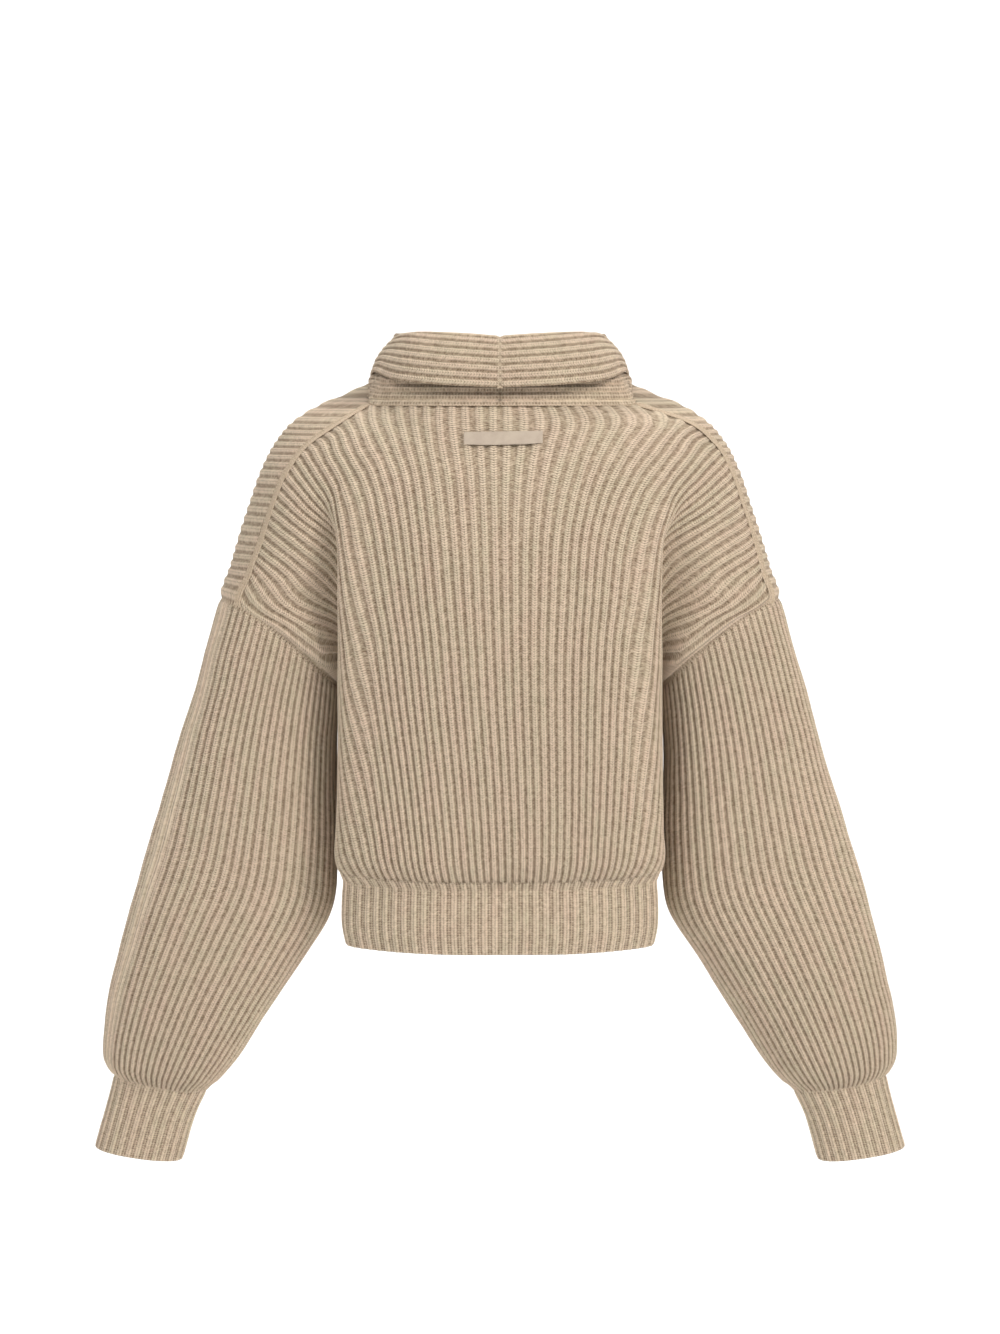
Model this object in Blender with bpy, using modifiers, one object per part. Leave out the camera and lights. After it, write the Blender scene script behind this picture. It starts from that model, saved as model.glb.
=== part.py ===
"""Ribbed pullover with a turned-down shawl collar, hollow as if worn.

The garment faces -Y, so its back faces +Y and the wearer's left is +X.
The origin is at the base of the neck, +Z up.  All sizes below are in
millimetres; the mesh functions turn them into metres.

Every cloth piece is an open sheet of points (a row of the sheet is one
section of the garment) that Solidify turns into a wall.
"""
import math

import bmesh
import bpy
import numpy as np

for old in list(bpy.data.objects):
    bpy.data.objects.remove(old)

MM = 0.001
GARMENT = "ribbed_pullover"

# ---------------------------------------------------------------- sizes
WALL = 2.4                # thickness of the knitted wall
SEAM_GAP = 0.45           # clear space between two pieces at a seam
SLEEVE_GAP = 1.7          # the same at the armhole, whose two edges are cut in unlike steps
COLLAR_LIFT = 1.0         # the same between the collar and the neckline
EDGE_DRAW = 1.05          # how far a panel stops short of a seam line, so that the inner
                          # faces of two walls that meet at a bend stay clear too
FRONT_DEPTH = 0.95        # depth of the front from the mid plane, as a share of the back's
FRONT_CREASE = 0.7        # the arm crease in front, as a share of the back's

ARMHOLE_TOP_Z = -180.0
UNDERARM_Z = -262.0
ARMHOLE_OUT_X = 261.0
ARMHOLE_IN_X = 151.0
ARMHOLE_HALF_DEPTH = 49.0
ARMHOLE_SLANT = 1.5       # 1 is a straight slant, more keeps the top of the seam level
HEM_JOIN_Z = -440.0
HEM_BOTTOM_Z = -500.0
V_POINT_Z = -150.0        # lowest point of the neckline in front

LABEL_WIDTH = 71.0
LABEL_HEIGHT = 11.0
LABEL_THICK = 1.2
LABEL_CENTRE = (-3.0, -29.0)

# The folds where the arms hang beside the body.
CREASE_START_Z = -60.0    # they begin here
CREASE_FULL_Z = -120.0    # and are at full depth here
PLAIN_POWER = 2.5         # how a section with no fold falls from its middle to its edge
PLAIN_SHARES = (0.70, 0.80, 0.91)     # where its three outer stations stand, as shares of its width
BODY_SHARES = (0.42, 0.76)            # the two stations between the centre and the crest of the fold
ARM_BULGE = 10.0          # how far the arm's side of the fold stands out under the armhole
BULGE_FADES_OVER = 40.0   # height above the underarm in which it goes

# The stations of a front section that is open at the neck, as shares from neckline to ridge.
OPEN_SHARES = (0.0, 0.2, 0.4, 0.54, 0.64, 0.75, 0.87)
OPEN_BLEND = 30.0         # height above the V in which a section takes them on

# Where the neck and the shoulders are, level by level.
SHOULDER_COLUMNS = ("z", "back_y", "outline_x", "left_x", "left_y", "right_x", "right_y")
SHOULDER_LEVELS = (
    (20.0, 40.0, 121.5, 120.0, 7.0, 120.0, 7.0),
    (12.0, 52.0, 139.0, 120.0, 15.0, 120.0, 15.0),
    (1.0, 62.0, 166.0, 120.0, 27.0, 124.0, 25.0),
    (-15.0, 73.0, 192.0, 146.0, 39.0, 172.0, 25.0),
    (-40.0, 85.0, 213.0, 181.0, 41.0, 203.0, 23.0),
    (-75.0, 94.0, 228.0, 202.0, 43.0, 219.0, 23.0),
    (-120.0, 99.0, 243.5, 218.0, 43.0, 235.0, 22.0),
    (-180.0, 102.0, 261.0, 241.0, 41.0, 250.0, 33.0),
)

# The body below the shoulders: centre back, and the crease between body and arm.
BODY_COLUMNS = ("z", "back_y", "fullness", "crest_x", "crest_y", "crease_x", "crease_y", "side_x")
BODY_LEVELS = (
    (-60.0, 91.0, 2.4, 152.0, 68.0, 160.0, 64.0, 156.0),
    (-110.0, 98.0, 2.6, 147.0, 75.0, 150.0, 60.0, 153.0),
    (-180.0, 102.0, 2.8, 146.0, 73.0, 145.5, 38.0, 151.0),
    (-262.0, 103.0, 3.0, 146.5, 67.0, 147.0, 30.0, 150.5),
    (-330.0, 103.0, 3.2, 147.0, 64.0, 149.0, 36.0, 150.0),
    (-400.0, 106.0, 3.4, 148.5, 66.0, 150.5, 36.0, 151.0),
    (-426.0, 107.0, 3.4, 148.0, 66.0, 150.5, 36.0, 151.0),
    (-440.0, 100.0, 3.2, 143.0, 60.0, 145.5, 34.0, 147.0),
)

# The band below it, shrunk or let out from the body's last section.
BAND_COLUMNS = ("z", "scale")
BAND_LEVELS = (
    (-440.0, 1.0),
    (-460.0, 1.008),
    (-484.0, 1.006),
    (-500.0, 0.985),
)

# The neckline in front: how far from the centre it lies at each height.
NECKLINE_COLUMNS = ("z", "x")
NECKLINE_LEVELS = (
    (20.0, 120.0),
    (1.0, 119.0),
    (-15.0, 113.0),
    (-40.0, 99.0),
    (-75.0, 75.0),
    (-120.0, 36.0),
    (-150.0, 0.0),
)

# Rings of the sleeve, from the armhole to the cuff: the outer and the inner
# end of the ring seen from behind, half its depth, and its middle in Y.
RING_COLUMNS = ("out_x", "out_z", "in_x", "in_z", "half_depth", "mid_y", "slant")
SLEEVE_RINGS = (
    (279.5, -242.0, 154.0, -306.0, 50.0, -1.0, 1.2),
    (297.5, -300.0, 154.5, -352.0, 52.0, -3.0, 1.05),
    (315.0, -358.0, 154.5, -414.0, 54.0, -5.0, 1.0),
    (333.5, -417.0, 159.0, -474.0, 55.0, -7.0, 1.0),
    (351.5, -476.0, 190.0, -527.0, 54.0, -9.0, 1.0),
    (368.0, -537.0, 226.0, -582.0, 50.0, -11.0, 1.0),
    (378.0, -586.0, 253.0, -624.0, 45.0, -12.0, 1.0),
    (380.5, -620.0, 269.0, -644.0, 39.0, -13.0, 1.0),
    (376.0, -634.0, 277.5, -650.5, 33.0, -13.0, 1.0),
    (371.0, -640.0, 283.0, -657.0, 27.5, -13.0, 1.0),
)
CUFF_RINGS = (
    (371.0, -640.5, 283.0, -657.5, 27.5, -13.0, 1.0),
    (377.5, -666.0, 295.0, -684.0, 26.0, -14.0, 1.0),
    (391.0, -712.0, 307.0, -725.0, 25.0, -15.0, 1.0),
)
RING_ROUNDNESS = 2.3      # 2 is an ellipse, more is boxier

# Sections of one half of the collar, from centre back round to the V in front: how far
# along the neck seam it stands, where it turns over, its free edge and the roll's radius.
COLLAR_COLUMNS = ("at", "fold", "edge", "roll")
COLLAR_SECTIONS = (
    (0.00, (0.0, 54.0, 62.0), (0.0, 76.0, 16.0), 6.0),
    (0.16, (48.0, 50.0, 65.0), (60.0, 72.0, 19.0), 6.0),
    (0.29, (77.0, 33.0, 69.0), (99.0, 51.0, 24.0), 6.0),
    (0.40, (86.0, -1.0, 70.0), (117.0, 10.0, 31.0), 6.0),
    (0.52, (76.0, -46.0, 50.0), (121.0, -50.0, 6.0), 6.0),
    (0.65, (56.0, -84.0, 0.0), (113.0, -88.0, -38.0), 6.0),
    (0.78, (32.0, -103.0, -55.0), (84.0, -105.0, -84.0), 5.0),
    (0.91, (13.0, -109.0, -112.0), (42.0, -109.0, -132.0), 4.0),
    (1.00, (3.0, -104.0, -148.0), (8.0, -106.0, -158.0), 2.5),
)

# --------------------------------------------------- how finely it is cut
BACK_STEPS = (2, 2, 2, 2, 2, 3)             # faces between two stations of a back section
STRIP_STEPS = (2, 2)                        # from the shoulder seam to the ridge, and on to the front
FRONT_STEPS = (3, 2, 2, 2, 2, 2)            # faces of a front section, from the outside to the centre
BACK_ROWS = (1, -15, -35, -60, -90, -125, -155, -180, -200, -222, -244, -262,
             -300, -345, -390, -423, -440)
FRONT_ROWS = (20, 12, 1, -15, -35, -60, -90, -125, -150, -180, -200, -222, -244, -262,
              -300, -345, -390, -423, -440)
RING_POINTS = 22
SLEEVE_ROWS = 14
CUFF_ROWS = 3
BAND_ROWS = 4

KNIT_COLOR = (0.62, 0.47, 0.32, 1.0)
LABEL_COLOR = (0.50, 0.40, 0.30, 1.0)


MIRROR = np.array([-1.0, 1.0, 1.0])
TO_FRONT = np.array([1.0, -1.0, 1.0])
UP_THE_ARM = np.array([-0.2, 0.0, 0.98])
FAR_AWAY = 9999.0         # stands for a point that a grid leaves out


# --------------------------------------------------------- interpolation
def column(table, names, name):
    return np.array([row[names.index(name)] for row in table], dtype=float)


def slopes(t, y):
    """Tangents of a curve through the values y at the knots t."""
    step = np.diff(t)
    rise = np.diff(y, axis=0) / step.reshape((-1,) + (1,) * (y.ndim - 1))
    m = np.empty_like(y)
    m[0], m[-1] = rise[0], rise[-1]
    for i in range(1, len(t) - 1):
        w = step[i] / (step[i - 1] + step[i])
        m[i] = w * rise[i - 1] + (1.0 - w) * rise[i]
    return m


def curve(t, y, at):
    """Smooth curve through the values y at the rising knots t, read at the values at."""
    t = np.asarray(t, dtype=float)
    y = np.asarray(y, dtype=float)
    at = np.clip(np.atleast_1d(np.asarray(at, dtype=float)), t[0], t[-1])
    m = slopes(t, y)
    i = np.clip(np.searchsorted(t, at, side="right") - 1, 0, len(t) - 2)
    h = t[i + 1] - t[i]
    f = (at - t[i]) / h
    shape = (-1,) + (1,) * (y.ndim - 1)
    f, h = f.reshape(shape), h.reshape(shape)
    return ((2 * f**3 - 3 * f**2 + 1) * y[i] + (f**3 - 2 * f**2 + f) * h * m[i]
            + (3 * f**2 - 2 * f**3) * y[i + 1] + (f**3 - f**2) * h * m[i + 1])


def level(table, names, name, z):
    """One column of a table of levels, read at the height z (levels run downwards)."""
    z_knots = -column(table, names, "z")
    return float(curve(z_knots, column(table, names, name), -z)[0])


def section(stations, steps):
    """Points along a smooth curve through the stations, steps[i] faces between i and i + 1."""
    stations = np.asarray(stations, dtype=float)
    chord = np.sqrt(np.linalg.norm(np.diff(stations, axis=0), axis=1))
    t = np.concatenate([[0.0], np.cumsum(np.maximum(chord, 0.2))])
    at = [np.linspace(t[i], t[i + 1], n, endpoint=False) for i, n in enumerate(steps)]
    return curve(t, stations, np.concatenate(at + [t[-1:]]))


def along(points, shares):
    """Points at the given shares of a polyline's length."""
    length = np.concatenate([[0.0], np.cumsum(np.linalg.norm(np.diff(points, axis=0), axis=1))])
    at = np.asarray(shares) * length[-1]
    return np.stack([np.interp(at, length, points[:, k]) for k in range(3)], axis=-1)


def blend(a, b, share):
    return np.asarray(a, dtype=float) * (1.0 - share) + np.asarray(b, dtype=float) * share


def unit(vectors):
    return vectors / np.linalg.norm(vectors, axis=-1, keepdims=True)


def ease(value):
    value = min(max(value, 0.0), 1.0)
    return value * value * (3.0 - 2.0 * value)


def shoulder(name, z):
    return level(SHOULDER_LEVELS, SHOULDER_COLUMNS, name, z)


def body(name, z):
    return level(BODY_LEVELS, BODY_COLUMNS, name, z)


# ------------------------------------------------------------ the armhole
ARMHOLE = (ARMHOLE_OUT_X, ARMHOLE_TOP_Z, ARMHOLE_IN_X, UNDERARM_Z, ARMHOLE_HALF_DEPTH, 0.0, ARMHOLE_SLANT)


def ring_point(ring, angle):
    """A point of a sleeve ring: angle 0 is its outer end, 90 degrees the back, 180 the inner end."""
    out_x, out_z, in_x, in_z, half_depth, mid_y, slant = ring
    c, s = math.cos(angle), math.sin(angle)
    power = 2.0 / RING_ROUNDNESS
    across = 0.5 * (1.0 - math.copysign(abs(c) ** power, c))
    behind = math.copysign(abs(s) ** power, s)
    return np.array([out_x + (in_x - out_x) * across,
                     mid_y + half_depth * behind,
                     out_z + (in_z - out_z) * across ** slant])


def armhole_angle(side):
    """Where on the armhole the shoulder seam ends."""
    angles = np.linspace(0.0, math.pi, 181)
    out_x = [ring_point(ARMHOLE, a)[0] for a in angles]
    return float(np.interp(-shoulder(side + "_x", ARMHOLE_TOP_Z), -np.array(out_x), angles))


def armhole_part(first, last, share):
    """A point of the armhole seam, a share of the way between two angles."""
    seam = np.array([ring_point(ARMHOLE, a) for a in np.linspace(first, last, 121)])
    return along(seam, share)


# -------------------------------------------------------- body sections
def shoulder_seam(side, z):
    """The shoulder seam, which lies behind the ridge, more so on the wearer's left."""
    return np.array([shoulder(side + "_x", z), shoulder(side + "_y", z), z])


def panel_edge(z, start_angle, end_angle):
    """Outer edge of a panel below the shoulders: the armhole, then the side seam."""
    if z > UNDERARM_Z:
        share = (ARMHOLE_TOP_Z - z) / (ARMHOLE_TOP_Z - UNDERARM_Z)
        return armhole_part(start_angle, end_angle, share)
    return np.array([body("side_x", z), 0.0, z])


def depth_at(x, centre_y, edge):
    """The section's depth at x, between its middle and its outer edge, with no crease."""
    share = min(max(x / edge[0], 0.0), 1.0)
    return edge[1] + (centre_y - edge[1]) * (1.0 - share ** PLAIN_POWER)


def creased_stations(z, edge, crease_share):
    """Stations from the centre outwards: centre, two on the body, crest, crease and bulge."""
    centre_y = shoulder("back_y", z) if z > BODY_LEVELS[0][0] else body("back_y", z)
    creased = ease((CREASE_START_Z - z) / (CREASE_START_Z - CREASE_FULL_Z))
    below = ease((UNDERARM_Z + BULGE_FADES_OVER - z) / BULGE_FADES_OVER)
    plain = []
    for x in np.array(PLAIN_SHARES) * edge[0]:
        plain.append(np.array([x, depth_at(x, centre_y, edge), z]))
    crest = blend(plain[0], (body("crest_x", z), body("crest_y", z), z), creased)
    deep_y = blend(crest[1], body("crease_y", z), crease_share)
    crease = blend(plain[1], (body("crease_x", z), deep_y, z), creased)
    full = blend(crease, edge, 0.5) + np.array([0.0, ARM_BULGE * (1.0 - below), 0.0])
    bulge = blend(plain[2], full, creased)
    on_body = []
    for share in BODY_SHARES:
        x = share * crest[0]
        folded_y = centre_y - (centre_y - crest[1]) * share ** body("fullness", z)
        on_body.append(np.array([x, blend(depth_at(x, centre_y, edge), folded_y, creased), z]))
    return np.array([np.array([0.0, centre_y, z])] + on_body + [crest, crease, bulge])


def open_at_neck(stations, ridge, z):
    """Moves the stations of a front section out to the neckline, above the V."""
    if z <= V_POINT_Z:
        return stations
    start_x = level(NECKLINE_LEVELS, NECKLINE_COLUMNS, "x", z)
    dense = section(np.vstack([stations, ridge]), (12,) * len(stations))
    dense_x = np.maximum.accumulate(dense[:, 0] + np.arange(len(dense)) * 1e-6)
    xs = start_x + (ridge[0] - start_x) * np.array(OPEN_SHARES)
    moved = np.array([[np.interp(x, dense_x, dense[:, k]) for k in range(3)] for x in xs])
    result = blend(stations, moved, ease((z - V_POINT_Z) / OPEN_BLEND))
    result[0] = moved[0]
    return result


def half_section(side, z):
    """The back's and the front's points of one half at the height z, both from the centre outwards.

    The front's last points, which turn over the shoulder, are missing (NaN) below the shoulder.
    """
    split = sum(BACK_STEPS)
    if z > ARMHOLE_TOP_Z:
        back_edge = shoulder_seam(side, z)
        corner = shoulder_seam("left", z) * TO_FRONT
    else:
        back_edge = panel_edge(z, armhole_angle(side), math.pi)
        corner = panel_edge(z, -armhole_angle("left"), -math.pi)
    ridge = np.array([shoulder("outline_x", z), 0.0, z])
    shallow = np.array([1.0, -FRONT_DEPTH, 1.0])
    back = creased_stations(z, back_edge, 1.0)
    front = np.vstack([creased_stations(z, corner / shallow, FRONT_CREASE) * shallow, corner])
    front = open_at_neck(front, ridge, z)
    before = back[1] * MIRROR
    after = front[1] * MIRROR if z <= V_POINT_Z else 2.0 * front[0] - front[1]
    if z > ARMHOLE_TOP_Z:
        line = np.vstack([before, back, back_edge, ridge, front[::-1], after])
        whole = section(line, (1,) + BACK_STEPS + STRIP_STEPS + FRONT_STEPS + (1,))[1:-1]
        return whole[:split + 1], whole[split:][::-1]
    if z > UNDERARM_Z:
        back_points = section(np.vstack([before, back, back_edge]), (1,) + BACK_STEPS)[1:]
        front_points = section(np.vstack([front[::-1], after]), FRONT_STEPS + (1,))[:-1]
    else:
        line = np.vstack([before, back, front[::-1], after])
        whole = section(line, (1,) + BACK_STEPS + FRONT_STEPS + (1,))[1:-1]
        back_points, front_points = whole[:split + 1], whole[split:]
    strip = np.full((sum(STRIP_STEPS), 3), np.nan)
    if z == ARMHOLE_TOP_Z:
        behind = np.linspace(armhole_angle(side), 0.0, STRIP_STEPS[0], endpoint=False)
        before_ridge = np.linspace(0.0, -armhole_angle("left"), STRIP_STEPS[1], endpoint=False)
        strip = np.array([ring_point(ARMHOLE, a) for a in np.concatenate([behind, before_ridge])])
    return back_points, np.vstack([strip, front_points])[::-1]


# ---------------------------------------------------------- mesh making
def sheet_object(name, grids, material, wrap=False, offset=-1.0, thickness=WALL):
    """A cloth piece: one or more grids of points, welded, and given thickness by Solidify."""
    mesh = bpy.data.meshes.new(name)
    shape = bmesh.new()
    for grid in grids:
        grid = np.asarray(grid, dtype=float)
        count, across = grid.shape[:2]
        filled = np.nan_to_num(grid, nan=FAR_AWAY) * MM
        corners = [[shape.verts.new(point) for point in row] for row in filled]
        for j in range(count - 1):
            for i in range(across if wrap else across - 1):
                k = (i + 1) % across
                if not np.isnan(grid[[j, j + 1, j + 1, j], [i, i, k, k]]).any():
                    shape.faces.new((corners[j][i], corners[j + 1][i], corners[j + 1][k], corners[j][k]))
    bmesh.ops.delete(shape, geom=[v for v in shape.verts if not v.link_faces], context="VERTS")
    bmesh.ops.remove_doubles(shape, verts=shape.verts, dist=1e-5)
    shape.to_mesh(mesh)
    shape.free()
    mesh.materials.append(material)
    mesh.shade_smooth()
    piece = bpy.data.objects.new(name, mesh)
    garment.objects.link(piece)
    wall = piece.modifiers.new("wall", "SOLIDIFY")
    wall.thickness = thickness * MM
    wall.offset = offset
    wall.use_rim = True
    return piece


def new_material(name, color, roughness):
    material = bpy.data.materials.new(name)
    material.use_nodes = True
    shader = material.node_tree.nodes["Principled BSDF"]
    shader.inputs["Base Color"].default_value = color
    shader.inputs["Roughness"].default_value = roughness
    shader.inputs["Metallic"].default_value = 0.0
    material.diffuse_color = color
    return material


def drawn_in(rows, heights, over_shoulder=0):
    """Stops a panel short of its seams: outer edge, top and bottom (armhole: up the arm).

    over_shoulder is how many faces of a row turn over the shoulder.
    """
    rows = rows.copy()
    for row, z in zip(rows, heights):
        outer = np.flatnonzero(~np.isnan(row[:, 0]))[-1]
        if z >= ARMHOLE_TOP_Z or z <= UNDERARM_Z:
            row[outer] += unit(row[outer - 1] - row[outer]) * EDGE_DRAW
        if z == ARMHOLE_TOP_Z and over_shoulder:
            row[-over_shoulder - 1:] += UP_THE_ARM * EDGE_DRAW
        elif ARMHOLE_TOP_Z >= z >= UNDERARM_Z:
            row[outer] += UP_THE_ARM * EDGE_DRAW
    rows[0] += unit(rows[1] - rows[0]) * SEAM_GAP
    rows[-1] += unit(rows[-2] - rows[-1]) * SEAM_GAP * 0.5
    return rows


def build_back():
    grids = []
    for side in ("left", "right"):
        rows = drawn_in(np.array([half_section(side, z)[0] for z in BACK_ROWS]), BACK_ROWS)
        rows[:, 0, 0] = 0.0
        grids.append(rows[:, ::-1] if side == "left" else rows * MIRROR)
    return sheet_object("back", grids, new_material("back_knit", KNIT_COLOR, 0.9))


def build_front():
    grids = []
    for side in ("left", "right"):
        rows = np.array([half_section(side, z)[1] for z in FRONT_ROWS])
        rows = drawn_in(rows, FRONT_ROWS, sum(STRIP_STEPS))
        below = np.array(FRONT_ROWS) <= V_POINT_Z
        rows[below, 0, 0] = 0.0
        grids.append(rows if side == "left" else (rows * MIRROR)[:, ::-1])
    return sheet_object("front", grids, new_material("front_knit", KNIT_COLOR, 0.9))


def build_tube(name, rings, rows, side):
    """A sleeve or a cuff: rings spaced evenly between those of its table."""
    rings = np.array(rings)
    angles = np.linspace(0.0, 2.0 * math.pi, RING_POINTS, endpoint=False)
    at = np.linspace(0, len(rings) - 1, rows)
    rings = curve(np.arange(len(rings)), rings, at)
    points = np.array([[ring_point(ring, a) for a in angles] for ring in rings])
    points = points if side == "left" else (points * MIRROR)[:, ::-1]
    return sheet_object(name, [points], new_material(name + "_knit", KNIT_COLOR, 0.9), wrap=True)


def build_sleeve(side):
    out_x, out_z, in_x, in_z, half_depth, mid_y, slant = ARMHOLE
    first = (out_x, out_z - SLEEVE_GAP, in_x, in_z - SLEEVE_GAP, half_depth, mid_y, slant)
    return build_tube("sleeve_" + side, (first,) + SLEEVE_RINGS, SLEEVE_ROWS, side)


def build_cuff(side):
    return build_tube("cuff_" + side, CUFF_RINGS, CUFF_ROWS, side)


def build_band():
    """The hem band: the body's last section, all round, carried down."""
    left_back, left_front = half_section("left", HEM_JOIN_Z)
    right_back, right_front = half_section("right", HEM_JOIN_Z)
    side = sum(FRONT_STEPS)
    behind = np.vstack([left_back[:0:-1], right_back[:-1] * MIRROR])
    ring = np.vstack([behind, right_front[side:0:-1] * MIRROR, left_front[:side]])
    z_knots = -column(BAND_LEVELS, BAND_COLUMNS, "z")
    rows = []
    for z in np.linspace(HEM_JOIN_Z - SEAM_GAP * 0.5, HEM_BOTTOM_Z, BAND_ROWS):
        scale = float(curve(z_knots, column(BAND_LEVELS, BAND_COLUMNS, "scale"), -z)[0])
        rows.append(np.stack([ring[:, 0] * scale, ring[:, 1] * scale, np.full(len(ring), z)], axis=1))
    return sheet_object("hem_band", [rows], new_material("hem_band_knit", KNIT_COLOR, 0.9), wrap=True)


def neck_seam(side):
    """The seam the collar is sewn to: along the back's top, over the shoulder, down to the V."""
    back_top = half_section(side, BACK_ROWS[0])[0]
    ridge_row = half_section(side, FRONT_ROWS[0])[1]
    points = list(back_top[:-2:2]) + [back_top[-1], shoulder_seam(side, FRONT_ROWS[1])]
    points += [ridge_row[-1], ridge_row[-STRIP_STEPS[0] - 1]]
    points += [half_section(side, z)[1][0] for z in FRONT_ROWS if z > V_POINT_Z]
    tip = blend(points[-1], half_section(side, V_POINT_Z)[1][0], 0.97)
    points.append(tip - np.array([0.0, COLLAR_LIFT, 0.0]))
    return np.array(points)


def build_collar(side):
    """Half the collar, a strip that stands up from the neck seam and turns over."""
    knots = column(COLLAR_SECTIONS, COLLAR_COLUMNS, "at")
    seam = neck_seam(side)
    at = np.concatenate([[0.0], np.cumsum(np.linalg.norm(np.diff(seam, axis=0), axis=1))])
    at /= at[-1]
    fold, edge, roll = (curve(knots, [row[k] for row in COLLAR_SECTIONS], at) for k in (1, 2, 3))
    rows = []
    for seam_point, fold_point, edge_point, radius in zip(seam, fold, edge, roll):
        down = unit(seam_point + edge_point - 2.0 * fold_point)
        across = edge_point - seam_point
        across = unit(across - np.dot(across, down) * down)
        inner = fold_point + (down - across) * radius
        outer = fold_point + (down + across) * radius
        stations = [seam_point, blend(seam_point, inner, 0.5), inner, fold_point, outer,
                    blend(outer, edge_point, 0.5), edge_point]
        rows.append(section(stations, (2, 1, 2, 2, 1, 2)))
    rows = np.array(rows)
    rows[:, :, 0] += SEAM_GAP
    rows[:, 0] += unit(rows[:, 1] - rows[:, 0]) * COLLAR_LIFT
    grid = rows if side == "left" else (rows * MIRROR)[:, ::-1]
    knit = new_material("collar_" + side + "_knit", KNIT_COLOR, 0.9)
    return sheet_object("collar_" + side, [grid], knit, offset=1.0)


def build_label():
    """A small blank tape on the back, its points those of the back moved out."""
    centre_x, centre_z = LABEL_CENTRE
    rows = []
    for z in np.linspace(centre_z + LABEL_HEIGHT / 2, centre_z - LABEL_HEIGHT / 2, 3):
        half = half_section("left", z)[0]
        xs = np.linspace(centre_x + LABEL_WIDTH / 2, centre_x - LABEL_WIDTH / 2, 9)
        depth = np.interp(np.abs(xs), half[:, 0], half[:, 1])
        rows.append(np.stack([xs, depth + SEAM_GAP + 0.2, np.full(len(xs), z)], axis=1))
    label = new_material("label_cloth", LABEL_COLOR, 0.7)
    return sheet_object("label_tape", [rows], label, offset=1.0, thickness=LABEL_THICK)


# ------------------------------------------------------------ the garment
garment = bpy.data.collections.new(GARMENT)
bpy.context.scene.collection.children.link(garment)

build_back()
build_front()
for wearer_side in ("left", "right"):
    build_sleeve(wearer_side)
    build_cuff(wearer_side)
    build_collar(wearer_side)
build_band()
build_label()
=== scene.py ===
"""The look of the ribbed pullover.

Every plain wall of the model is knitted again: a sheet of points whose columns
run along the ribs is laid over it, Geometry Nodes raise the ribs, and the
stitches come from the knit material.  Sizes are in millimetres until a mesh
is made.  The garment faces -Y; its photographed back faces +Y.
"""
import math

import bmesh
import bpy
import numpy as np
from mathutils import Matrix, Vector


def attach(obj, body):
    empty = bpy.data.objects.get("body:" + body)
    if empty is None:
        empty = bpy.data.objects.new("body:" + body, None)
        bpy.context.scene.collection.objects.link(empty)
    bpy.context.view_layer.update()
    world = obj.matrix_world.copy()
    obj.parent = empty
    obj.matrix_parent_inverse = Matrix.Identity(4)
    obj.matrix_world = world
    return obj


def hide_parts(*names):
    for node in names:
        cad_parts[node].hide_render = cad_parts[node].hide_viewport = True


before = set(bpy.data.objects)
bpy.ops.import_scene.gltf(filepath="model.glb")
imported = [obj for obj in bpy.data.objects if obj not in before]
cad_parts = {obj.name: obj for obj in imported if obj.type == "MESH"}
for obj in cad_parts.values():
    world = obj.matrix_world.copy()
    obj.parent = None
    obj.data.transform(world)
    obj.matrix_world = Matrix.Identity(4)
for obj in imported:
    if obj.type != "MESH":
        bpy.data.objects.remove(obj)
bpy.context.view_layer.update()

MM = 0.001
MIRROR = np.array([-1.0, 1.0, 1.0])
TO_FRONT = np.array([1.0, -1.0, 1.0])

# ---- the cut, as in the model
FRONT_DEPTH = 0.95
FRONT_CREASE = 0.7
ARMHOLE_TOP_Z = -180.0
UNDERARM_Z = -262.0
ARMHOLE = (261.0, ARMHOLE_TOP_Z, 151.0, UNDERARM_Z, 49.0, 0.0, 1.5)     # a ring as ring_point takes it
HEM_JOIN_Z = -440.0
HEM_BOTTOM_Z = -500.0
V_POINT_Z = -150.0
RING_ROUNDNESS = 2.3
CREASE_START_Z = -60.0
CREASE_FULL_Z = -120.0
PLAIN_POWER = 2.5
PLAIN_SHARES = (0.70, 0.80, 0.91)
BODY_SHARES = (0.42, 0.76)
ARM_BULGE = 10.0
BULGE_FADES_OVER = 40.0

SHOULDER_COLUMNS = ("z", "back_y", "outline_x", "left_x", "left_y", "right_x", "right_y")
SHOULDER_LEVELS = (
    (20, 40, 121.5, 120, 7, 120, 7),
    (12, 52, 139, 120, 15, 120, 15),
    (1, 62, 166, 120, 27, 124, 25),
    (-15, 73, 192, 146, 39, 172, 25),
    (-40, 85, 213, 181, 41, 203, 23),
    (-75, 94, 228, 202, 43, 219, 23),
    (-120, 99, 243.5, 218, 43, 235, 22),
    (-180, 102, 261, 241, 41, 250, 33),
)
BODY_COLUMNS = ("z", "back_y", "fullness", "crest_x", "crest_y", "crease_x", "crease_y", "side_x")
BODY_LEVELS = (
    (-60, 91, 2.4, 152, 68, 160, 64, 156),
    (-110, 98, 2.6, 147, 75, 150, 60, 153),
    (-180, 102, 2.8, 146, 73, 145.5, 38, 151),
    (-262, 103, 3, 146.5, 67, 147, 30, 150.5),
    (-330, 103, 3.2, 147, 64, 149, 36, 150),
    (-400, 106, 3.4, 148.5, 66, 150.5, 36, 151),
    (-426, 107, 3.4, 148, 66, 150.5, 36, 151),
    (-440, 100, 3.2, 143, 60, 145.5, 34, 147),
)
# Height, and the hem band's width as a share of the hem's.
BAND_LEVELS = ((-440, 1), (-460, 1.008), (-484, 1.006), (-500, 0.985))
# Height, and the neckline's distance from the centre.
NECKLINE_LEVELS = ((20, 120), (1, 119), (-15, 113), (-40, 99), (-75, 75),
                   (-120, 36), (-150, 0))
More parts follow.
